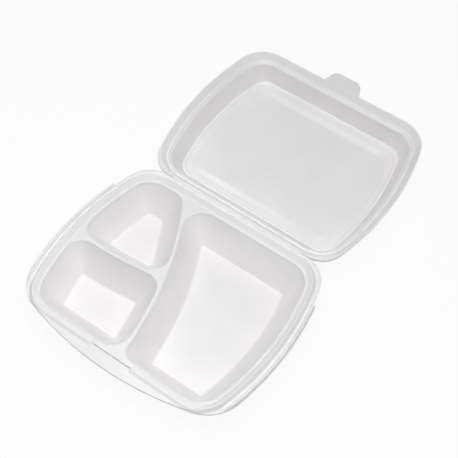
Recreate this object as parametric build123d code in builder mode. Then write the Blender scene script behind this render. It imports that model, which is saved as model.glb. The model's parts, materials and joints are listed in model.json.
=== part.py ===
from build123d import *
import os
from math import acos, atan2, cos, degrees, hypot, radians, sin

os.makedirs("parts", exist_ok=True)

# Foam sheet, pressed to shape
sheet = 2.5
hinge_gap = 0.4              # between base and lid at the crease, and between their flat rims when shut
shut_gap = 0.5               # between the base's ridge and the lid's shoulder when shut

# Rim crest: the barrel-shaped line that the whole rim of base and lid follows
crest_half_width = 112.0
crest_side_radius = 280.0
crest_back = 5.7             # hinge to the crest along the hinge side
crest_front = 188.7          # hinge to the crest along the front
crest_middle = (crest_back + crest_front) / 2   # hinge to the widest place
crest_back_corner = 32.0
crest_front_corner = 28.0

# Base
floor_depth = 27.0           # hinge axis down to the compartment floors
wall_share = 0.17            # run of a sloping wall from mouth to floor, as a share of the half width
mouth_inset = 6.5            # crest to compartment mouths
mouth_back_inset = 8.3
mouth_round = 1.2
floor_round = 1.6
rim_corner = 24.0            # corner radii of the mouths beside the rim and beside the dividers
divider_corner = 13.0
floor_corner = 4.0
divider_width = 3.2
divider_back_left = 0.527    # how far left the long divider is, as shares of the rim's half width
divider_middle_left = 0.1
divider_front_left = -0.048
divider_bend_left = 0.536    # how far left the short divider bends most
divider_middle_along = 0.504   # places of the dividers from back to front, as shares of the rim's length
divider_side_along = 0.539
divider_bend_along = 0.543
ridge_height = 3.0
ridge_inner = 4.6            # feet of the sealing ridge, either side of the crest
ridge_outer = 3.0
ridge_top = 0.6              # half width of the ridge's flat top
ridge_wall = 1.6             # foot of the ridge to the foot of its hollow
flange_grow = 7.0            # flat flange beside the hinge
flange_corner = 30.0
rim_grow = 9.4               # outer edge from the notches forward
lip_inner = 5.2              # raised outer lip
lip_height = 2.2
lip_run = 1.3                # how far each side of the lip leans in
lip_runout = 10.7            # crest back to where the lip runs out into the apron
notch_back = 43.0            # hinge to the notches where the lip begins
apron_width = 12.7           # crest to the apron's front edge
apron_radius = 330.0
apron_corner = 40.0
apron_flat = 3.7             # crest to the line where the apron starts to droop
apron_droop = 10.0
slit_half_length = 20.0
slit_inset = 0.5             # crest back to the middle of the slit
slit_width = 0.8

# Lid
lip_grow = 4.7               # outer edge of the lid, outside the crest
shoulder_top = ridge_outer + shut_gap   # the lid's shoulder slopes down over the ridge
shoulder_foot = -1.2
shoulder_depth = 5.3
ledge_inner = -6.8
panel_side_inset = 15.0      # crest to the panel's edges
panel_near_inset = 19.3
panel_far_inset = 12.2
panel_depth = 27.2           # hinge axis down to the panel's border
panel_corner = 17.0
panel_side_radius = 265.0
border_shelf = 1.5           # panel's edges to its first step down, and that step
border_run = 2.5
border_drop = 0.8
step_border = 9.5            # panel's edges to the slope down to its sunk middle
step_run = 8.0
step_drop = 2.4              # panel's edges down to its sunk middle
step_corner = 8.0
tab_half_root = 21.0
tab_half_tip = 15.0
tab_length = 14.6
tab_rise = 9.0
tab_corner = 5.0
tab_overlap = 1.2            # how far the tab's sheet runs back into the lip
lid_corner = 27.0            # lid's corners beside the hinge


# Places along the box, measured from the hinge
apron_fold = crest_front + apron_flat
apron_front = crest_front + apron_width
lip_end = crest_front - lip_runout
slit_middle = crest_front - slit_inset
lip_front = crest_front + lip_grow
panel_half_width = crest_half_width - panel_side_inset
panel_near = crest_back + panel_near_inset
panel_far = crest_front - panel_far_inset
wall_run = wall_share * crest_half_width
wide = 4 * crest_half_width  # larger than the box, for cutting outlines short
crest_length = crest_front - crest_back
divider_back = (-divider_back_left * crest_half_width, 0)
divider_middle = (-divider_middle_left * crest_half_width, -crest_back - divider_middle_along * crest_length)
divider_front = (-divider_front_left * crest_half_width, -crest_front)
divider_side = (-crest_half_width, -crest_back - divider_side_along * crest_length)
divider_bend = (-divider_bend_left * crest_half_width, -crest_back - divider_bend_along * crest_length)


def through(run, drop):
    """The sheet measured level through a wall that runs in by run while it drops by drop."""
    return sheet * hypot(run, drop) / drop


wall_sheet = through(wall_run, floor_depth)
shoulder_slope = (shoulder_top - shoulder_foot) / shoulder_depth
shoulder_sheet = through(shoulder_slope, 1)
panel_run = panel_side_inset + ledge_inner
panel_sheet = through(panel_run, panel_depth - shoulder_depth)

# The open lid leans on the near edge of its panel
hinge_height = floor_depth + sheet
rim_level = -hinge_gap / 2
lid_bottom = panel_depth + step_drop + sheet
lid_heel = panel_near + step_border + step_run - sheet / 2
lid_lean = hypot(lid_bottom, lid_heel)
lid_tilt = degrees(acos(min(1.0, hinge_height / lid_lean)) - atan2(lid_heel, lid_bottom))

# The frame's origin is under the middle of the whole open box
tab_lean = radians(lid_tilt + tab_rise)
lip_reach = lip_front * cos(radians(lid_tilt)) - rim_level * sin(radians(lid_tilt))
tab_reach = lip_reach + tab_length * cos(tab_lean) + sheet * sin(tab_lean)
apron_reach = apron_fold + (apron_front - apron_fold) * cos(radians(apron_droop))
hinge_y = (apron_reach - tab_reach) / 2

base_plane = Plane(origin=(0, hinge_y, hinge_height))
apron_up = (0, -sin(radians(apron_droop)), cos(radians(apron_droop)))
apron_start = base_plane.from_local_coords((0, -apron_fold, rim_level))
apron_plane = Plane(origin=apron_start, x_dir=(1, 0, 0), z_dir=apron_up)
lid_up = (0, -sin(radians(lid_tilt)), cos(radians(lid_tilt)))
lid_plane = Plane(origin=(0, hinge_y, hinge_height), x_dir=(-1, 0, 0), z_dir=lid_up)
tab_up = (0, -sin(tab_lean), cos(tab_lean))
tab_root = lid_plane.from_local_coords((0, -lip_front, rim_level))
tab_plane = Plane(origin=tab_root, x_dir=(-1, 0, 0), z_dir=tab_up)


def straight(y, inward):
    """A side along the hinge's direction: tells how far inside it a point lies, and the way inward."""
    return lambda point: ((point.Y - y) * inward, Vector(0, inward))


def bowed(x, y, radius, hollow=False):
    """A side on a circle about (x, y), with the outline inside the circle, or outside it if hollow."""
    centre = Vector(x, y)
    hand = -1 if hollow else 1
    return lambda point: (
        (radius - (point - centre).length) * hand,
        (centre - point).normalized() * hand,
    )


def arc_side(first, middle, last, shift, hollow=False):
    """A side on the circle through three points, moved inward by shift."""
    start = Vector(*first)
    half_way = Vector(*middle) - start
    whole_way = Vector(*last) - start
    half_square, whole_square = half_way.dot(half_way), whole_way.dot(whole_way)
    twice = 2 * (half_way.X * whole_way.Y - half_way.Y * whole_way.X)
    centre = start + Vector(
        (whole_way.Y * half_square - half_way.Y * whole_square) / twice,
        (half_way.X * whole_square - whole_way.X * half_square) / twice,
    )
    radius = (centre - start).length
    return bowed(centre.X, centre.Y, radius + (shift if hollow else -shift), hollow)


def corner_centre(first, second, radius, near):
    """Centre of the corner of that radius between two sides, found from a place near it."""
    point = Vector(*near)
    for _ in range(20):
        depth, way = first(point)
        other_depth, other_way = second(point)
        miss, other_miss = radius - depth, radius - other_depth
        cross = way.X * other_way.Y - way.Y * other_way.X
        point += Vector(
            (miss * other_way.Y - other_miss * way.Y) / cross,
            (other_miss * way.X - miss * other_way.X) / cross,
        )
    return point


def touch(side, point):
    """The nearest place on a side."""
    depth, way = side(point)
    return point - way * depth


def outline(sides, radii, near):
    """Closed outline of sides in turn, each rounded into the next, given places near its corners."""
    following = sides[1:] + sides[:1]
    centres = [corner_centre(*corner) for corner in zip(sides, following, radii, near)]
    with BuildSketch() as shape:
        with BuildLine():
            for i, side in enumerate(sides):
                start = touch(side, centres[i - 1])
                end = touch(side, centres[i])
                turn = touch(following[i], centres[i])
                middle = touch(side, (start + end) / 2)
                if (middle * 2 - start - end).length < 1e-6:
                    Line(start, end)
                else:
                    ThreePointArc(start, middle, end)
                corner = ((end + turn) / 2 - centres[i]).normalized()
                ThreePointArc(end, centres[i] + corner * radii[i], turn)
        make_face()
    return shape.sketch


def barrel(half_width, side_radius, back, front, back_corner, front_corner, front_radius=None):
    """Outline with bowed sides, the hinge side at y = -back and the front at y = -front."""
    side_x = half_width - side_radius
    if front_radius:
        front_side = bowed(0, front_radius - front, front_radius)
    else:
        front_side = straight(-front, 1)
    return outline(
        [
            straight(-back, -1),
            bowed(-side_x, -crest_middle, side_radius),
            front_side,
            bowed(side_x, -crest_middle, side_radius),
        ],
        [back_corner, front_corner, front_corner, back_corner],
        [(-half_width, -back), (-half_width, -front), (half_width, -front), (half_width, -back)],
    )


def rim(grow):
    """The crest line moved outward by grow."""
    return barrel(
        crest_half_width + grow,
        crest_side_radius + grow,
        crest_back - grow,
        crest_front + grow,
        crest_back_corner + grow,
        crest_front_corner + grow,
    )


def outer_edge(grow):
    """The base's outer edge, moved outward by grow."""
    return barrel(
        crest_half_width + rim_grow + grow,
        crest_side_radius + rim_grow + grow,
        hinge_gap / 2 - grow,
        apron_front + grow,
        flange_corner + grow,
        apron_corner + grow,
        apron_radius + grow,
    )


lip_edge = barrel(
    crest_half_width + lip_grow,
    crest_side_radius + lip_grow,
    hinge_gap / 2,
    lip_front,
    lid_corner,
    crest_front_corner + lip_grow,
)
flange_edge = barrel(
    crest_half_width + flange_grow,
    crest_side_radius + flange_grow,
    hinge_gap / 2,
    crest_front,
    flange_corner,
    crest_front_corner,
)


def compartments(inset):
    """Outlines of the three compartments, moved in from their mouths by inset."""
    back_y = -crest_back - mouth_back_inset - inset
    front_y = mouth_inset + inset - crest_front
    side_radius = crest_side_radius - mouth_inset - inset
    half_divider = divider_width / 2 + inset
    rim_round = rim_corner + (floor_corner - rim_corner) * inset / wall_run
    divider_round = divider_corner + (floor_corner - divider_corner) * inset / wall_run

    back = straight(back_y, -1)
    front = straight(front_y, 1)
    left = bowed(crest_side_radius - crest_half_width, -crest_middle, side_radius)
    right = bowed(crest_half_width - crest_side_radius, -crest_middle, side_radius)
    long_divider = (divider_back, divider_middle, divider_front, half_divider)
    short_divider = (divider_side, divider_bend, divider_middle, half_divider)
    left_corner = (divider_side[0], back_y)
    front_corner = (divider_side[0], front_y)

    behind = outline(
        [back, left, arc_side(*short_divider), arc_side(*long_divider)],
        [rim_round, divider_round, divider_round, divider_round],
        [left_corner, divider_side, divider_middle, (divider_back[0], back_y)],
    )
    ahead = outline(
        [arc_side(*short_divider, hollow=True), left, front, arc_side(*long_divider)],
        [divider_round, rim_round, divider_round, divider_round],
        [divider_side, front_corner, (divider_front[0], front_y), divider_middle],
    )
    large = outline(
        [back, arc_side(*long_divider, hollow=True), front, right],
        [divider_round, divider_round, rim_round, rim_round],
        [
            (divider_back[0], back_y),
            (divider_front[0], front_y),
            (crest_half_width, front_y),
            (crest_half_width, back_y),
        ],
    )
    return [behind, ahead, large]


# Base: one pressed sheet with three sloping compartments, a sealing ridge and an outer lip
wall_slope = wall_run / floor_depth
inner_profile = [
    (rim_level, -mouth_round),
    (rim_level - mouth_round, wall_slope * mouth_round),
    (floor_round - floor_depth, wall_run - wall_slope * floor_round),
    (-floor_depth, wall_run + floor_round / 2),
]
outer_start = sheet - hinge_gap
under_profile = [
    (rim_level - outer_start, wall_slope * outer_start - wall_sheet),
    (floor_round - floor_depth - sheet, wall_run + wall_slope * (sheet - floor_round) - wall_sheet),
    (-floor_depth - sheet, wall_run + wall_slope * sheet + floor_round / 2 - wall_sheet),
]

with BuildPart() as base:
    # flat rim, out to the outer edge, and the apron that droops along the front
    with BuildSketch(base_plane.offset(rim_level)) as rim_outline:
        add(outer_edge(0))
        with Locations((0, -notch_back)):
            Rectangle(wide, wide, align=(Align.CENTER, Align.MIN), mode=Mode.SUBTRACT)
        with Locations((0, -apron_fold)):
            Rectangle(wide, wide, align=(Align.CENTER, Align.MAX), mode=Mode.SUBTRACT)
        add(flange_edge)
    extrude(amount=-sheet)
    with BuildSketch(apron_plane) as apron_outline:
        add(outer_edge(0).moved(Location((0, apron_fold))))
        Rectangle(wide, wide, align=(Align.CENTER, Align.MIN), mode=Mode.SUBTRACT)
    extrude(amount=-sheet)
    # raised outer lip, kept along both sides only
    with BuildSketch(base_plane.offset(rim_level)):
        add(outer_edge(0))
    with BuildSketch(base_plane.offset(rim_level + lip_height)):
        add(outer_edge(-lip_run))
    loft(ruled=True)
    with BuildSketch(base_plane.offset(rim_level)):
        add(rim(lip_inner))
    with BuildSketch(base_plane.offset(rim_level + lip_height)):
        add(rim(lip_inner + lip_run))
    loft(ruled=True, mode=Mode.SUBTRACT)
    with BuildSketch(base_plane.offset(rim_level)) as lip_ends:
        with Locations((0, -notch_back)):
            Rectangle(wide, wide, align=(Align.CENTER, Align.MIN))
        with Locations((0, -lip_end)):
            Rectangle(wide, wide, align=(Align.CENTER, Align.MAX))
    extrude(amount=lip_height, mode=Mode.SUBTRACT)
    # sealing ridge, hollow underneath
    with BuildSketch(base_plane.offset(rim_level)):
        add(rim(ridge_outer))
    with BuildSketch(base_plane.offset(rim_level + ridge_height)):
        add(rim(ridge_top))
    loft(ruled=True)
    with BuildSketch(base_plane.offset(rim_level - sheet)):
        add(rim(ridge_outer - ridge_wall))
    with BuildSketch(base_plane.offset(rim_level - sheet + ridge_height)):
        add(rim(ridge_top / 2))
    loft(ruled=True, mode=Mode.SUBTRACT)
    with BuildSketch(base_plane.offset(rim_level - sheet)):
        add(rim(ridge_wall - ridge_inner))
    with BuildSketch(base_plane.offset(rim_level - sheet + ridge_height)):
        add(rim(-ridge_top / 2))
    loft(ruled=True)
    with BuildSketch(base_plane.offset(rim_level)):
        add(rim(-ridge_inner))
    with BuildSketch(base_plane.offset(rim_level + ridge_height)):
        add(rim(-ridge_top))
    loft(ruled=True, mode=Mode.SUBTRACT)
    # compartment walls, outside and inside
    for which in range(3):
        for height, inset in under_profile:
            with BuildSketch(base_plane.offset(height)):
                add(compartments(inset)[which])
        loft(ruled=True)
    for which in range(3):
        for height, inset in inner_profile:
            with BuildSketch(base_plane.offset(height)):
                add(compartments(inset)[which])
        loft(ruled=True, mode=Mode.SUBTRACT)
    # the ridge stops short of the slit for the lid's tab
    with BuildSketch(base_plane.offset(rim_level)) as ridge_break:
        with Locations((0, -slit_middle)):
            Rectangle(2 * slit_half_length + slit_width, 2 * (ridge_inner + ridge_outer))
    extrude(amount=ridge_height, mode=Mode.SUBTRACT)
    with BuildSketch(base_plane.offset(rim_level - sheet)) as ridge_floor:
        with Locations((0, -slit_middle)):
            Rectangle(2 * slit_half_length + slit_width, ridge_inner + ridge_outer)
    extrude(amount=sheet)
    with BuildSketch(base_plane.offset(rim_level)) as slit:
        with Locations((0, -slit_middle)):
            SlotOverall(2 * slit_half_length, slit_width)
    extrude(amount=-2 * sheet, mode=Mode.SUBTRACT)

base.part.label = "base"
export_step(base.part, "parts/base.step")

# Lid: one pressed sheet, open and inside up, with its tab on the far edge
shoulder_level = rim_level - shoulder_depth
panel_level = -panel_depth
step_level = panel_level - step_drop


def panel(inset):
    """Edge of the lid's panel, or an outline further in, with tighter corners."""
    corner = panel_corner + (step_corner - panel_corner) * inset / (step_border + step_run)
    return barrel(
        panel_half_width - inset,
        panel_side_radius - inset,
        panel_near + inset,
        panel_far - inset,
        corner,
        corner,
    )


border_level = panel_level - border_drop
border_end = border_shelf + border_run
step_end = step_border + step_run
lid_under = [
    [
        (rim_level - sheet, rim(shoulder_top - shoulder_slope * sheet + shoulder_sheet)),
        (shoulder_level - sheet, rim(shoulder_foot - shoulder_slope * sheet + shoulder_sheet)),
    ],
    [(shoulder_level, rim(ledge_inner + panel_sheet)), (panel_level - sheet, panel(-sheet / 2))],
    [(panel_level, panel(border_shelf - sheet)), (border_level - sheet, panel(border_end - sheet / 2))],
    [(border_level, panel(step_border - sheet)), (step_level - sheet, panel(step_end - sheet / 2))],
]
lid_inside = [
    [(rim_level, rim(shoulder_top)), (shoulder_level, rim(shoulder_foot))],
    [(shoulder_level, rim(ledge_inner)), (panel_level, panel(0))],
    [(panel_level, panel(border_shelf)), (border_level, panel(border_end))],
    [(border_level, panel(step_border)), (step_level, panel(step_end))],
]

with BuildPart() as lid:
    # flat lip round the edge
    with BuildSketch(lid_plane.offset(rim_level)) as lip_outline:
        add(lip_edge)
    extrude(amount=-sheet)
    # shoulder, wall and panel, outside and inside
    for sections in lid_under:
        for height, edge in sections:
            with BuildSketch(lid_plane.offset(height)):
                add(edge)
        loft(ruled=True)
    for sections in lid_inside:
        for height, edge in sections:
            with BuildSketch(lid_plane.offset(height)):
                add(edge)
        loft(ruled=True, mode=Mode.SUBTRACT)
    # tab that tucks into the slit
    with BuildSketch(tab_plane) as tab:
        with BuildLine():
            Polyline(
                (-tab_half_root, tab_overlap),
                (-tab_half_root, 0),
                (-tab_half_tip, -tab_length),
                (tab_half_tip, -tab_length),
                (tab_half_root, 0),
                (tab_half_root, tab_overlap),
                close=True,
            )
        make_face()
        fillet(tab.vertices().group_by(Axis.Y)[0], radius=tab_corner)
    extrude(amount=-sheet)

lid.part.label = "lid"
export_step(lid.part, "parts/lid.step")
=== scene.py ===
import json
import math

import bmesh
import bpy
import numpy as np
from mathutils import Matrix, Vector


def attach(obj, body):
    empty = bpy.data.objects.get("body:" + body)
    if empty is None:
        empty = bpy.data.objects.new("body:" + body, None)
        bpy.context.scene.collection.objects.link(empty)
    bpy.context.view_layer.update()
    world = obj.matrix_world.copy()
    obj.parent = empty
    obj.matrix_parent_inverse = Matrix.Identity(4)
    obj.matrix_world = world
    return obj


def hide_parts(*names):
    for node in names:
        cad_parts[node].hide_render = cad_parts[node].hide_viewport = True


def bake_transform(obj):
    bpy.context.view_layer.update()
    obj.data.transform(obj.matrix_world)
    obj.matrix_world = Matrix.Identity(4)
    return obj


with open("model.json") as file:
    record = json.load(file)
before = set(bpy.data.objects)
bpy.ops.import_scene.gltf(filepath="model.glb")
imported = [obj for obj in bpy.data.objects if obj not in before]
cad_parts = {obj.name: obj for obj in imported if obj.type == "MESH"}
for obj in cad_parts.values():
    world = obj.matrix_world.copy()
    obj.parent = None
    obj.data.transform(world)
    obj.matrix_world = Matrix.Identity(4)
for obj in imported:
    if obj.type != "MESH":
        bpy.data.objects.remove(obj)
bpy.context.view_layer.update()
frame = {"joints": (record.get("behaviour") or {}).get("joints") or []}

# Lengths are in millimetres from the hinge, as the source gives them, until a mesh is made
MM = 0.001

# Sheet and hinge
sheet = 2.5
hinge_gap = 0.4
hinge = Vector(frame["joints"][0]["pos_m"])
hinge_height = hinge.z / MM
rim_level = -hinge_gap / 2

# Rim crest
crest_half_width = 112.0
crest_side_radius = 280.0
crest_back = 5.7
crest_front = 188.7
crest_middle = (crest_back + crest_front) / 2
crest_back_corner = 32.0
crest_front_corner = 28.0

# Base
floor_depth = hinge_height - sheet
wall_share = 0.17        # run of a sloping wall as a share of the half width
wall_run = wall_share * crest_half_width
mouth_inset = 6.5
mouth_back_inset = 8.3
bead_width = 1.2         # soft bead round each mouth
bead_height = 0.75
bead_lead = 0.05         # level strip in front of the bead
bead_fall = 0.07         # share of the wall that it takes
floor_radius = 3.0
rim_corner = 24.0
divider_corner = 17.0
large_front_corner = 13.0
hinge_corner = 20.0      # corner of the large compartment beside hinge and divider
floor_corner = 2.5
sharpest_corner = 0.6
divider_width = 3.2
divider_back_left = 0.527
divider_middle_left = 0.1
divider_front_left = -0.048
divider_bend_left = 0.536
divider_middle_along = 0.504
divider_side_along = 0.539
divider_bend_along = 0.543
ridge_height = 3.0
ridge_inner = 4.6
ridge_outer = 3.0
ridge_top = 0.6
ridge_wall = 1.6
flange_grow = 7.0
flange_corner = 30.0
rim_grow = 9.4
lip_inner = 5.2
lip_height = 2.2
lip_run = 1.3
lip_runout = 10.7
lip_fade_start = crest_front - 2.2 * lip_runout
lip_fade_end = crest_front - 0.2 * lip_runout
lip_full_reach = rim_grow - 0.5
notch_back = 43.0
notch_run = 1.6
apron_width = 12.7
apron_radius = 330.0
apron_corner = 40.0
apron_flat = 3.7
apron_fold = 1.5         # half the width of its soft fold
apron_droop = math.radians(10)
slit_half_length = 20.0
slit_inset = 0.5
slit_width = 0.45
slit_narrowing = 0.75    # how much narrower the pressed line is than the ridge
slit_groove = 0.7        # pressed line that holds the slit
ridge_end = 1.8
ridge_front_height = 0.9
foot_groove = 0.45       # pressed lines along the feet of the ridge and the lip
groove_depth = 1.0       # pressed line along the base's side of the hinge
groove_width = 1.1
groove_share = 0.3       # share of the flange that it may take
foot_land = 0.35         # level strip inside the ridge's foot
foot_turn = 0.15
foot_inset = 0.2
hinge_foot = 1.4         # how much wider the ridge stands along the hinge

# Lid
lip_grow = 4.7
lid_corner = 27.0
shoulder_top = ridge_outer + 0.5
shoulder_foot = -1.2
shoulder_depth = 5.3
ledge_inner = -6.8
panel_side_inset = 15.0
panel_near_inset = 19.3
panel_far_inset = 12.2
panel_depth = 27.2
panel_corner = 17.0
panel_side_radius = 265.0
border_shelf = 1.5
border_run = 2.5
border_drop = 0.8
panel_flat = 3.0         # level strip inside the steps
step_border = 9.5
step_run = 8.0
step_drop = 2.4
step_corner = 8.0
ledge_dip = -1.9         # ledge under the shoulder: a shallow groove, then a soft roll
ledge_crest = -3.2
ledge_roll = 0.35
ledge_fall = 2.0
step_bead = 0.4          # how far the edges of the panel's steps stand up
ring_pitch = 5.5         # faint pressed rings in the panel's middle
ring_height = 0.12
tab_half_root = 21.0
tab_half_tip = 15.0
tab_length = 14.6
tab_rise = math.radians(9)
tab_corner = 5.0
tab_overlap = 0.8
tab_edge = 0.5

# Crease: how far its ends stay in from the flange's sides, and its levels below the rim
crease_end = 45.0
crease_low = 0.5
crease_high = 0.08

# Lid leans on the near edge of its panel
step_end = step_border + step_run
panel_half_length = (crest_front - panel_far_inset - crest_back - panel_near_inset) / 2
lid_bottom = panel_depth + step_drop + sheet
lid_heel = crest_back + panel_near_inset + step_end - sheet / 2
lid_tilt = math.acos(hinge_height / math.hypot(lid_bottom, lid_heel)) - math.atan2(lid_heel, lid_bottom)

# Places of the dividers
crest_length = crest_front - crest_back
divider_back = (-divider_back_left * crest_half_width, 0)
divider_middle = (-divider_middle_left * crest_half_width, -crest_back - divider_middle_along * crest_length)
divider_front = (-divider_front_left * crest_half_width, -crest_front)
divider_side = (-crest_half_width, -crest_back - divider_side_along * crest_length)
divider_bend = (-divider_bend_left * crest_half_width, -crest_back - divider_bend_along * crest_length)

# Places of the two halves: millimetres about the hinge to metres in the frame
base_place = Matrix.Translation(hinge) @ Matrix.Scale(MM, 4)
lid_place = base_place @ Matrix.Rotation(lid_tilt, 4, "X") @ Matrix.Rotation(math.pi, 4, "Z")

FAR = 1e6    # radius of a side that is straight


# Outlines: sides are arcs, each with the outline inside (1) or outside (-1) its circle

def level_side(y, toward):
    return (0.0, y + toward * FAR, FAR, 1)


def bowed_side(half_width, radius, hand):
    return (hand * (half_width - radius), -crest_middle, radius, 1)


def arc_through(first, middle, last, inside):
    a, b, c = (complex(*p) for p in (first, middle, last))
    w = (c - a) / (b - a)
    centre = (b - a) * (w - abs(w) ** 2) / (w - w.conjugate()) + a
    return (centre.real, centre.imag, abs(a - centre), inside)


def inward(side, distance):
    x, y, radius, inside = side
    return (x, y, radius - inside * distance, inside)


def meeting(a, b, near):
    """The point nearest to near where two sides cross."""
    start = np.array(a[:2])
    between = np.array(b[:2]) - start
    gap = math.hypot(*between)
    along = (a[2] ** 2 - b[2] ** 2 + gap**2) / (2 * gap)
    across = math.sqrt(max(a[2] ** 2 - along**2, 0.0))
    unit = between / gap
    square = np.array((-unit[1], unit[0]))
    places = [start + along * unit + sign * across * square for sign in (1, -1)]
    return min(places, key=lambda p: math.hypot(*(p - np.array(near))))


def sweep(centre, first, last, steps):
    """Points on an arc about a centre, without the last one."""
    a = math.atan2(*(first - centre)[::-1])
    b = math.atan2(*(last - centre)[::-1])
    turn = (b - a + math.pi) % (2 * math.pi) - math.pi
    angles = a + turn * np.arange(steps) / steps
    return centre + math.hypot(*(first - centre)) * np.stack((np.cos(angles), np.sin(angles)), 1)


def outline(sides, radii, near, along=44, around=16):
    """Closed loop of points: sides in turn, with the corner after each one rounded."""
    count = len(sides)
    centres = []
    for i in range(count):
        r = radii[i]
        centres.append(meeting(inward(sides[i], r), inward(sides[(i + 1) % count], r), near[i]))

    def touch(side, centre):
        middle = np.array(side[:2])
        out = centre - middle
        return middle + out * side[2] / math.hypot(*out)

    loop = []
    for i in range(count):
        side = sides[i]
        start = touch(side, centres[i - 1])
        end = touch(side, centres[i])
        loop.append(sweep(np.array(side[:2]), start, end, along))
        loop.append(sweep(centres[i], end, touch(sides[(i + 1) % count], centres[i]), around))
    return np.concatenate(loop)


def barrel(half_width, side_radius, back, front, back_corner, front_corner, front_radius=FAR, **steps):
    """Outline with bowed sides: hinge side, left, front, right."""
    sides = [
        level_side(-back, -1),
        bowed_side(half_width, side_radius, -1),
        (0.0, front_radius - front, front_radius, 1),
        bowed_side(half_width, side_radius, 1),
    ]
    near = [(-half_width, -back), (-half_width, -front), (half_width, -front), (half_width, -back)]
    return outline(sides, [back_corner, front_corner, front_corner, back_corner], near, **steps)


# Profiles

def rounded(points, radii, arc_steps=5):
    """A path of straight runs with its bends rounded, always with the same number of points."""
    points = [np.array(p, float) for p in points]
    path = [points[0]]
    for before, bend, after, radius in zip(points, points[1:], points[2:], radii):
        back, forth = before - bend, after - bend
        back_length, forth_length = np.linalg.norm(back), np.linalg.norm(forth)
        cosine = np.clip(back @ forth / (back_length * forth_length), -1, 1)
        half = math.acos(cosine) / 2
        cut = min(radius / math.tan(half) if half > 1e-3 else 1e9, 0.48 * back_length, 0.48 * forth_length)
        first = bend + back / back_length * cut
        last = bend + forth / forth_length * cut
        for t in np.linspace(0, 1, arc_steps + 1):
            path.append((1 - t) ** 2 * first + 2 * t * (1 - t) * bend + t**2 * last)
    path.append(points[-1])
    return np.array(path)


def smooth(value, low, high):
    t = np.clip((value - low) / (high - low), 0, 1)
    return t * t * (3 - 2 * t)


# Meshes

def ring(bm, points, heights, place):
    heights = np.broadcast_to(heights, len(points))
    return [bm.verts.new(place @ Vector((x, y, z))) for (x, y), z in zip(points, heights)]


def bridge(bm, rings):
    for a, b in zip(rings, rings[1:]):
        for i in range(len(a)):
            j = (i + 1) % len(a)
            bm.faces.new((a[i], a[j], b[j], b[i]))


def loop_edges(bm, loop):
    return [bm.edges.get((loop[i - 1], loop[i])) for i in range(len(loop))]


def fill(bm, loops):
    edges = [edge for loop in loops for edge in loop_edges(bm, loop)]
    bmesh.ops.triangle_fill(bm, use_beauty=True, edges=edges)


def finished(bm, name, material):
    bmesh.ops.recalc_face_normals(bm, faces=bm.faces)
    for face in bm.faces:
        face.smooth = True
    mesh = bpy.data.meshes.new(name)
    bm.to_mesh(mesh)
    bm.free()
    piece = bpy.data.objects.new(name, mesh)
    bpy.context.scene.collection.objects.link(piece)
    mesh.materials.append(material)
    return piece


# Base

def rim_stations():
    """Places round the crest line, closer together at notches and slit, and the way out from each."""
    dense = barrel(
        crest_half_width, crest_side_radius, crest_back, crest_front,
        crest_back_corner, crest_front_corner, along=900, around=300,
    )
    ahead = np.roll(dense, -1, 0) - dense
    lengths = np.hypot(ahead[:, 0], ahead[:, 1])
    place = np.concatenate(([0], np.cumsum(lengths)))
    closed = np.vstack((dense, dense[:1]))
    tangent = ahead / lengths[:, None] + np.roll(ahead / lengths[:, None], 1, 0)
    normal = np.stack((tangent[:, 1], -tangent[:, 0]), 1) / np.hypot(*tangent.T)[:, None]
    closed_normal = np.vstack((normal, normal[:1]))
    step = np.where(np.abs(dense[:, 1] + notch_back) < 3, 0.25, 2.2)
    slit_end = np.abs(np.abs(dense[:, 0]) - slit_half_length - ridge_end / 2) < 2 * ridge_end
    step = np.where(slit_end & (dense[:, 1] < -crest_middle), 0.4, step)
    bend = np.abs(np.cross(np.roll(normal, 1, 0), normal)) / lengths
    step = np.where(bend > 0.01, np.minimum(step, 1.6), step)
    count = np.concatenate(([0], np.cumsum(lengths / step)))
    wanted = np.interp(np.linspace(0, count[-1], int(count[-1]), endpoint=False), count, place)

    def at(values):
        return np.stack([np.interp(wanted, place, values[:, k]) for k in (0, 1)], 1)

    return at(closed), at(closed_normal)


def reach_to(points, normals, edge):
    """How far each place is from an edge outline, straight out."""
    along = np.roll(edge, -1, 0) - edge
    found = []
    for p, n in zip(points, normals):
        across = along[:, 0] * n[1] - along[:, 1] * n[0]
        offset = edge - p
        t = (offset[:, 1] * along[:, 0] - offset[:, 0] * along[:, 1]) / across
        s = (offset[:, 1] * n[0] - offset[:, 0] * n[1]) / across
        hit = (s >= -1e-9) & (s <= 1 + 1e-9) & (t > 0)
        found.append(t[hit].min())
    return np.array(found)


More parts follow.
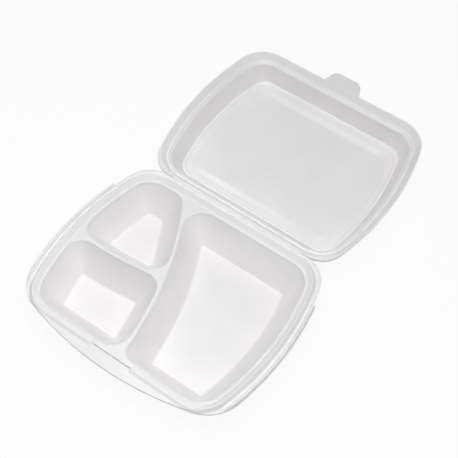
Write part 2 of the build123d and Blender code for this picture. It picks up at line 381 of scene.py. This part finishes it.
def rim_profiles(points, normals):
    """Section of the rim at each place: ridge, groove, lip or flange or apron, edge and underside."""
    flange = barrel(
        crest_half_width + flange_grow, crest_side_radius + flange_grow, hinge_gap / 2,
        crest_front + flange_grow, flange_corner, crest_front_corner, along=300, around=80,
    )
    outer = barrel(
        crest_half_width + rim_grow, crest_side_radius + rim_grow, hinge_gap / 2,
        crest_front + apron_width, flange_corner, apron_corner, apron_radius, along=300, around=80,
    )
    y = points[:, 1]
    ahead_of_notch = smooth(-y, notch_back - notch_run / 2, notch_back + notch_run / 2)
    to_flange = reach_to(points, normals, flange)
    to_outer = reach_to(points, normals, outer)
    reach = to_flange + (to_outer - to_flange) * ahead_of_notch
    lip = ahead_of_notch * (1 - smooth(-y, lip_fade_start, lip_fade_end))
    lip *= smooth(reach, lip_inner + lip_run, lip_full_reach)
    past_slit = smooth(np.abs(points[:, 0]), slit_half_length, slit_half_length + ridge_end)
    beside_slit = (1 - past_slit) * (y < -crest_middle)
    along_front = smooth(-normals[:, 1], 0.6, 0.98)
    crests = ridge_height + (ridge_front_height - ridge_height) * along_front
    crests -= (crests + slit_groove) * beside_slit
    along_hinge = smooth(normals[:, 1], 0.9, 0.999)
    grooves = (foot_groove + (groove_depth - foot_groove) * along_hinge) * (1 - beside_slit)
    feet = ridge_inner + hinge_foot * along_hinge
    narrows = 1 - slit_narrowing * beside_slit
    sections = []
    for out, up, crest, groove, foot, narrow in zip(reach, lip, crests, grooves, feet, narrows):
        rise = lip_height * up
        room = out - ridge_outer
        low = lip_inner * up + (ridge_outer + min(groove_share * room, groove_width)) * (1 - up)
        inner = (lip_inner + lip_run) * up + (ridge_outer + 0.5 * room) * (1 - up)
        outer_top = out - lip_run * (0.5 + 0.5 * up)
        controls = [
            (-foot - foot_land, rim_level),
            (-foot - foot_turn, rim_level),
            (-foot * narrow + foot_inset, rim_level - groove),
            (-ridge_top * narrow, rim_level + crest),
            (ridge_top * narrow, rim_level + crest),
            (ridge_outer * narrow, rim_level - groove),
            (low, rim_level - groove),
            (inner, rim_level + rise),
            (outer_top, rim_level + rise),
            (out, rim_level),
            (out, rim_level - sheet),
            (ridge_outer - ridge_wall, rim_level - sheet),
            (ridge_top / 2, rim_level - sheet + max(crest, 0)),
            (-ridge_top / 2, rim_level - sheet + max(crest, 0)),
            (ridge_wall - ridge_inner, rim_level - sheet),
            (ridge_wall - ridge_inner - 0.3, rim_level - sheet),
        ]
        # Bend radii in the order of the controls
        radii = (0.5, 0.5, 1.2, 1.2, 0.6, 0.6, 1.0, 1.0, 0.6, 0.6, 0.5, 0.5, 0.5, 0.5)
        sections.append(rounded(controls, radii, arc_steps=4))
    return np.array(sections)


def droop(xy, z):
    """Bends the apron down beyond its fold line."""
    beyond = -xy[:, 1] - (crest_front + apron_flat)
    soft = np.maximum(beyond + apron_fold, 0) ** 2 / (4 * apron_fold)
    past = np.where(beyond > apron_fold, beyond, soft)
    down = np.tan(apron_droop) * past * math.cos(apron_droop)
    shift = past * (1 - math.cos(apron_droop))
    return np.stack((xy[:, 0], xy[:, 1] + shift), 1), z - down


def compartment_shapes():
    """Sides, corner radii and rough corners of the three compartments at their mouths."""
    back = level_side(-crest_back - mouth_back_inset, -1)
    front = level_side(-crest_front + mouth_inset, 1)
    left, right = (
        bowed_side(crest_half_width - mouth_inset, crest_side_radius - mouth_inset, hand) for hand in (-1, 1)
    )
    long_points = (divider_back, divider_middle, divider_front)
    short_points = (divider_side, divider_bend, divider_middle)
    half = divider_width / 2
    long_left = inward(arc_through(*long_points, 1), half)
    long_right = inward(arc_through(*long_points, -1), half)
    short_back = inward(arc_through(*short_points, 1), half)
    short_front = inward(arc_through(*short_points, -1), half)
    side_x = -crest_half_width
    top, low = -crest_back - mouth_back_inset, -crest_front
    large = (
        [back, long_right, front, right],
        [hinge_corner, large_front_corner, rim_corner, rim_corner],
        [(divider_back[0], top), divider_front, (-side_x, low), (-side_x, top)],
    )
    small_back = (
        [back, left, short_back, long_left],
        [rim_corner, divider_corner, divider_corner, divider_corner],
        [(side_x, top), divider_side, divider_middle, (divider_back[0], top)],
    )
    small_front = (
        [short_front, left, front, long_left],
        [divider_corner, rim_corner, divider_corner, divider_corner],
        [divider_side, (side_x, low), divider_front, divider_middle],
    )
    return [small_back, small_front, large]


def compartment_ring(shape, inset):
    sides, radii, near = shape
    eased = [max(r + (floor_corner - r) * inset / wall_run, sharpest_corner) for r in radii]
    return outline([inward(side, inset) for side in sides], eased, near, along=40, around=14)


def compartment(bm, shape, path):
    """One side of a compartment's sheet, from its mouth to its floor, and the loop of its mouth."""
    rings = [ring(bm, compartment_ring(shape, inset), height, base_place) for inset, height in path]
    bridge(bm, rings)
    bm.faces.new(rings[-1])
    return rings[0]


def wall_paths():
    slope = wall_run / floor_depth
    through = sheet * math.hypot(wall_run, floor_depth) / floor_depth
    level = rim_level
    edge = -slope * level
    fall = level + floor_depth
    start = edge - bead_width
    bead = [
        (start - bead_lead, level),
        (start, level),
        (edge - 0.55 * bead_width, level + bead_height),
        (edge + 0.1 * bead_width, level + 0.7 * bead_height),
    ]
    wall = [(edge + (wall_run - edge) * bead_fall, level - fall * bead_fall)]
    foot = [(wall_run, -floor_depth), (wall_run + 3, -floor_depth)]
    inside = rounded(bead + wall + foot, (0.3, 0.5, 0.7, 1.5, floor_radius), arc_steps=5)
    below = level - sheet
    start = -slope * below - through
    end = wall_run + slope * sheet - through
    outside = rounded(
        [(start - 0.2, below), (start, below), (end, -floor_depth - sheet), (end + 4, -floor_depth - sheet)],
        (0.3, floor_radius), arc_steps=6,
    )
    return inside, outside


def cut_slit(piece):
    """Cuts the slit for the tab through the base's front rim."""
    half = slit_half_length - slit_width / 2
    middle = -crest_front + slit_inset
    turns = np.linspace(-math.pi / 2, math.pi / 2, 13)
    right = [(half + slit_width / 2 * math.cos(t), middle + slit_width / 2 * math.sin(t)) for t in turns]
    points = right + [(-x, 2 * middle - y) for x, y in right]
    bm = bmesh.new()
    levels = (rim_level - 2 * sheet, rim_level + 2 * sheet)
    rings = [ring(bm, np.array(points), z, base_place) for z in levels]
    bridge(bm, rings)
    bm.faces.new(rings[0])
    bm.faces.new(rings[1])
    bmesh.ops.recalc_face_normals(bm, faces=bm.faces)
    mesh = bpy.data.meshes.new("slit_cutter")
    bm.to_mesh(mesh)
    bm.free()
    cutter = bpy.data.objects.new("slit_cutter", mesh)
    bpy.context.scene.collection.objects.link(cutter)
    cut = piece.modifiers.new("slit", "BOOLEAN")
    cut.object = cutter
    cut.operation = "DIFFERENCE"
    cut.solver = "EXACT"
    depsgraph = bpy.context.evaluated_depsgraph_get()
    cut_mesh = bpy.data.meshes.new_from_object(piece.evaluated_get(depsgraph))
    piece.modifiers.clear()
    piece.data = cut_mesh
    bpy.data.objects.remove(cutter)


def make_base(material):
    bm = bmesh.new()
    points, normals = rim_stations()
    sections = rim_profiles(points, normals)
    rings = []
    for k in range(sections.shape[1]):
        xy = points + normals * sections[:, k, :1]
        xy, z = droop(xy, sections[:, k, 1])
        rings.append(ring(bm, xy, z, base_place))
    bridge(bm, rings)
    inside, outside = wall_paths()
    shapes = compartment_shapes()
    fill(bm, [rings[0]] + [compartment(bm, shape, inside) for shape in shapes])
    fill(bm, [rings[-1]] + [compartment(bm, shape, outside) for shape in shapes])
    piece = finished(bm, "base_foam", material)
    bpy.context.view_layer.update()
    cut_slit(piece)
    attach(piece, "base")
    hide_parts("base")


# Lid

def rim_size(grow):
    """The crest line moved outward: half width, side radius, back, front, back and front corners."""
    return (
        crest_half_width + grow, crest_side_radius + grow, crest_back - grow,
        crest_front + grow, crest_back_corner + grow, crest_front_corner + grow,
    )


def panel_size(inset):
    """The edge of the panel moved in, with corners that grow tighter."""
    tightest = 2.5
    corner = np.interp(inset, (0, step_end, panel_half_length), (panel_corner, step_corner, tightest))
    return (
        crest_half_width - panel_side_inset - inset, panel_side_radius - inset,
        crest_back + panel_near_inset + inset, crest_front - panel_far_inset - inset, corner, corner,
    )


def through_sheet(path):
    """A path moved square to itself through the sheet."""
    path = np.array(path)
    ways = np.diff(path, axis=0)
    ways /= np.linalg.norm(ways, axis=1)[:, None]
    turned = np.stack((ways[:, 1], -ways[:, 0]), 1)
    before = np.vstack((turned[:1], turned))
    after = np.vstack((turned, turned[-1:]))
    share = sheet / (1 + (before * after).sum(1))
    return path + (before + after) * share[:, None]


def lid_paths(edge_half_width):
    """Inner and outer section of the lid, as distances in from its edge and heights."""
    shoulder = rim_level - shoulder_depth
    border = -panel_depth - border_drop
    middle = -panel_depth - step_drop

    def at(size, height):
        return (edge_half_width - size[0], height)

    start = [(0.0, rim_level), at(rim_size(shoulder_top), rim_level), at(rim_size(shoulder_foot), shoulder)]
    ledge = [
        at(rim_size(ledge_dip), shoulder - ledge_roll),
        at(rim_size(ledge_crest), shoulder + ledge_roll),
        at(rim_size(ledge_inner), shoulder - ledge_fall),
    ]
    rest = [
        at(panel_size(0), -panel_depth),
        at(panel_size(border_shelf + 0.2 * border_run), -panel_depth + step_bead),
        at(panel_size(border_shelf + 0.8 * border_run), border),
        at(panel_size(step_border), border + step_bead),
        at(panel_size(step_border + 0.85 * step_run), middle),
        at(panel_size(step_end + panel_flat), middle),
    ]
    inner = rounded(
        [(0.0, rim_level - 0.9)] + start + ledge + rest,
        (0.6, 0.9, 1.0, 1.2, 1.6, 3.0, 2.0, 1.0, 1.0, 3.0, 3.0), arc_steps=6,
    )
    outer = through_sheet(start + [at(rim_size(ledge_inner), shoulder)] + rest)
    outer[0] = (0.0, rim_level - sheet)
    outer = rounded(
        [(0.0, rim_level - 1.6), *outer], (0.5, 1.0, 1.2, 1.2, 2.5, 1.0, 1.0, 1.2, 2.5), arc_steps=6,
    )
    rings = int((panel_half_length - step_end - 2 * panel_flat) / ring_pitch)
    turn = np.linspace(0, rings, 4 * rings + 1)[1:]
    waves = middle + ring_height * (1 - np.cos(2 * math.pi * turn)) / 2
    return np.vstack((inner, np.stack((inner[-1, 0] + ring_pitch * turn, waves), 1))), outer


def make_lid(material):
    edge = (
        crest_half_width + lip_grow, crest_side_radius + lip_grow, hinge_gap / 2,
        crest_front + lip_grow, lid_corner, crest_front_corner + lip_grow,
    )
    sizes = np.array([
        edge, rim_size(shoulder_top), rim_size(shoulder_foot), rim_size(ledge_inner),
        panel_size(0), panel_size(step_end), panel_size(panel_half_length),
    ])
    inset = edge[0] - sizes[:, 0]
    bm = bmesh.new()

    def surface(path):
        rings = []
        for u, z in path:
            size = [np.interp(u, inset, sizes[:, k]) for k in range(6)]
            rings.append(ring(bm, barrel(*size), z, lid_place))
        bridge(bm, rings)
        bm.faces.new(rings[-1])
        return rings[0]

    bridge(bm, [surface(path) for path in lid_paths(edge[0])])
    piece = finished(bm, "lid_foam", material)
    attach(piece, "lid")
    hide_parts("lid")


def make_tab(material):
    """The tuck tab, bent up a little from the lid's far edge."""
    root = -crest_front - lip_grow + tab_overlap
    lean = (tab_half_root - tab_half_tip) / tab_length
    straight = tab_length - tab_corner
    turns = np.linspace(0.15, math.pi / 2, 8)
    places = np.concatenate((np.linspace(0, straight, 10), straight + tab_corner * np.sin(turns)))
    rows = []
    for along in places:
        into = max(along - straight, 0)
        trim = tab_corner - math.sqrt(max(tab_corner**2 - into**2, 0))
        rows.append((tab_half_root - lean * along - trim, along))
    bm = bmesh.new()
    edges = []
    for depth in (0, sheet):
        grid = []
        for wide, along in rows:
            up = math.sin(tab_rise) * along - depth * math.cos(tab_rise)
            out = math.cos(tab_rise) * along + depth * math.sin(tab_rise)
            line = [(share * wide, root - out, rim_level + up) for share in np.linspace(-1, 1, 25)]
            grid.append([bm.verts.new(lid_place @ Vector(point)) for point in line])
        for a, b in zip(grid, grid[1:]):
            for i in range(len(a) - 1):
                bm.faces.new((a[i], a[i + 1], b[i + 1], b[i]))
        left = [row[0] for row in grid]
        right = [row[-1] for row in grid[-2::-1]]
        edges.append(left + grid[-1][1:] + right + grid[0][-2:0:-1])
    bridge(bm, edges)
    piece = finished(bm, "lid_tab", material)
    soft = piece.modifiers.new("soft_edge", "BEVEL")
    soft.width = tab_edge * MM
    soft.segments = 3
    soft.limit_method = "ANGLE"
    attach(piece, "lid")
    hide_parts("lid")


# Material

def foam_material():
    material = bpy.data.materials.new("pressed_foam")
    material.use_nodes = True
    nodes, links = material.node_tree.nodes, material.node_tree.links
    shader = nodes["Principled BSDF"]
    shader.inputs["IOR"].default_value = 1.59
    shader.inputs["Specular IOR Level"].default_value = 0.5
    place = nodes.new("ShaderNodeTexCoord")
    patches = nodes.new("ShaderNodeTexNoise")
    patches.inputs["Scale"].default_value = 28
    patches.inputs["Detail"].default_value = 3
    tint = nodes.new("ShaderNodeValToRGB")
    tint.color_ramp.elements[0].position = 0.3
    tint.color_ramp.elements[0].color = (0.87, 0.855, 0.862, 1)
    tint.color_ramp.elements[1].position = 0.7
    tint.color_ramp.elements[1].color = (0.91, 0.895, 0.902, 1)
    cells = nodes.new("ShaderNodeTexVoronoi")
    cells.feature = "SMOOTH_F1"
    cells.inputs["Scale"].default_value = 900
    skin = nodes.new("ShaderNodeTexNoise")
    skin.inputs["Scale"].default_value = 260
    skin.inputs["Detail"].default_value = 4
    gloss = nodes.new("ShaderNodeMapRange")
    gloss.inputs["To Min"].default_value = 0.3
    gloss.inputs["To Max"].default_value = 0.4
    fine = nodes.new("ShaderNodeBump")
    fine.inputs["Strength"].default_value = 0.06
    fine.inputs["Distance"].default_value = 0.0002
    wave = nodes.new("ShaderNodeBump")
    wave.inputs["Strength"].default_value = 0.12
    wave.inputs["Distance"].default_value = 0.0003
    for texture in (patches, cells, skin):
        links.new(place.outputs["Object"], texture.inputs["Vector"])
    links.new(patches.outputs["Fac"], tint.inputs["Fac"])
    links.new(tint.outputs["Color"], shader.inputs["Base Color"])
    links.new(skin.outputs["Fac"], gloss.inputs["Value"])
    links.new(gloss.outputs["Result"], shader.inputs["Roughness"])
    links.new(skin.outputs["Fac"], wave.inputs["Height"])
    links.new(cells.outputs["Distance"], fine.inputs["Height"])
    links.new(wave.outputs["Normal"], fine.inputs["Normal"])
    links.new(fine.outputs["Normal"], shader.inputs["Normal"])
    return material


# Crease: the thin line of foam that is left between base and lid

def make_crease(material):
    half = crest_half_width + flange_grow - crease_end
    low = rim_level - crease_low
    high = rim_level - crease_high
    bm = bmesh.new()
    across = np.linspace(-hinge_gap / 2, hinge_gap / 2, 9)
    section = [(y, high) for y in across] + [(y, low) for y in across[::-1]]
    rings = []
    for x in np.linspace(-half, half, 60):
        rings.append([bm.verts.new(base_place @ Vector((x, y, z))) for y, z in section])
    bridge(bm, rings)
    bm.faces.new(rings[0])
    bm.faces.new(rings[-1])
    piece = finished(bm, "hinge_crease", material)
    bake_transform(piece)


foam = foam_material()
make_base(foam)
make_lid(foam)
make_tab(foam)
make_crease(foam)


# Studio, in metres

floor_reach = 4.0
floor_gap = 0.0002
shadow_share = 0.08      # how much of the floor's white gives way to shadow
ambient_strength = 0.14

# Camera, in degrees, millimetres and pixels
camera_azimuth = math.radians(30.986)
camera_elevation = math.radians(54.58)
camera_roll = math.radians(4.8485)
camera_distance = 943.23
camera_shift_x = -6.355
camera_shift_y = -14.208
focal_pixels = 988.77
frame_pixels = 458


def plain_sight(nodes, links):
    """1 for what is seen straight, in a mirror or through glass, 0 for light that falls on things."""
    path = nodes.new("ShaderNodeLightPath")
    mirror = nodes.new("ShaderNodeMath")
    mirror.operation = "MAXIMUM"
    either = nodes.new("ShaderNodeMath")
    either.operation = "MAXIMUM"
    links.new(path.outputs["Is Glossy Ray"], mirror.inputs[0])
    links.new(path.outputs["Is Transmission Ray"], mirror.inputs[1])
    links.new(path.outputs["Is Camera Ray"], either.inputs[0])
    links.new(mirror.outputs["Value"], either.inputs[1])
    return either.outputs["Value"]


def make_floor():
    material = bpy.data.materials.new("studio_floor")
    material.use_nodes = True
    nodes, links = material.node_tree.nodes, material.node_tree.links
    nodes.clear()
    out = nodes.new("ShaderNodeOutputMaterial")
    paint = nodes.new("ShaderNodeBsdfDiffuse")
    paint.inputs["Color"].default_value = (0.9, 0.9, 0.9, 1)
    glow = nodes.new("ShaderNodeEmission")
    glow.inputs["Color"].default_value = (1, 1, 1, 1)
    backdrop = nodes.new("ShaderNodeMixShader")
    backdrop.inputs["Fac"].default_value = shadow_share
    links.new(glow.outputs["Emission"], backdrop.inputs[1])
    links.new(paint.outputs["BSDF"], backdrop.inputs[2])
    seen = nodes.new("ShaderNodeMixShader")
    links.new(plain_sight(nodes, links), seen.inputs["Fac"])
    links.new(paint.outputs["BSDF"], seen.inputs[1])
    links.new(backdrop.outputs["Shader"], seen.inputs[2])
    links.new(seen.outputs["Shader"], out.inputs["Surface"])
    mesh = bpy.data.meshes.new("studio_floor")
    corners = [(x * floor_reach, y * floor_reach, 0) for x, y in ((-1, -1), (1, -1), (1, 1), (-1, 1))]
    mesh.from_pydata(corners, [], [(0, 1, 2, 3)])
    floor = bpy.data.objects.new("studio_floor", mesh)
    floor.location.z = -floor_gap
    mesh.materials.append(material)
    bpy.context.scene.collection.objects.link(floor)


def make_world():
    world = bpy.data.worlds.new("studio")
    bpy.context.scene.world = world
    world.use_nodes = True
    nodes, links = world.node_tree.nodes, world.node_tree.links
    nodes.clear()
    out = nodes.new("ShaderNodeOutputWorld")
    ambient = nodes.new("ShaderNodeBackground")
    ambient.inputs["Color"].default_value = (1, 1, 1, 1)
    ambient.inputs["Strength"].default_value = ambient_strength
    white = nodes.new("ShaderNodeBackground")
    white.inputs["Color"].default_value = (1, 1, 1, 1)
    seen = nodes.new("ShaderNodeMixShader")
    links.new(plain_sight(nodes, links), seen.inputs["Fac"])
    links.new(ambient.outputs["Background"], seen.inputs[1])
    links.new(white.outputs["Background"], seen.inputs[2])
    links.new(seen.outputs["Shader"], out.inputs["Surface"])


def make_lamp(name, place, aim, size, power, mirrored=True, spread=True):
    data = bpy.data.lights.new(name, "AREA")
    data.size = size
    data.energy = power
    lamp = bpy.data.objects.new(name, data)
    lamp.location = place
    lamp.rotation_euler = (Vector(aim) - Vector(place)).to_track_quat("-Z", "Y").to_euler()
    lamp.visible_diffuse = spread
    lamp.visible_glossy = mirrored
    bpy.context.scene.collection.objects.link(lamp)


def make_camera():
    aside = math.sin(camera_azimuth)
    ahead = -math.cos(camera_azimuth)
    flat = math.cos(camera_elevation)
    back = Vector((aside * flat, ahead * flat, math.sin(camera_elevation)))
    level = Vector((-ahead, aside, 0))
    up = back.cross(level)
    right = math.cos(camera_roll) * level + math.sin(camera_roll) * up
    top = math.cos(camera_roll) * up - math.sin(camera_roll) * level
    data = bpy.data.cameras.new("camera")
    data.sensor_width = 36
    data.lens = focal_pixels / frame_pixels * data.sensor_width
    camera = bpy.data.objects.new("camera", data)
    place = hinge + (right * camera_shift_x + top * camera_shift_y + back * camera_distance) * MM
    turn = Matrix((right, top, back)).transposed().to_4x4()
    camera.matrix_world = Matrix.Translation(place) @ turn
    bpy.context.scene.collection.objects.link(camera)
    bpy.context.scene.camera = camera


make_floor()
make_world()
make_lamp("overhead", place=(0.0, -0.16, 0.9), aim=(0, -0.6, 0), size=0.7, power=6.3)
make_lamp("left_panel", place=(-1.3, -0.35, 0.8), aim=(0, -0.1, 0), size=1.2, power=1.2, mirrored=False)
make_lamp("right_panel", place=(1.3, -0.35, 0.8), aim=(0, -0.1, 0), size=1.2, power=3.0, mirrored=False)
make_lamp("reflector", place=(-0.55, 1.1, 0.5), aim=(0, 0.05, 0), size=0.5, power=4.0, spread=False)
make_camera()
bpy.context.scene.view_settings.view_transform = "Standard"
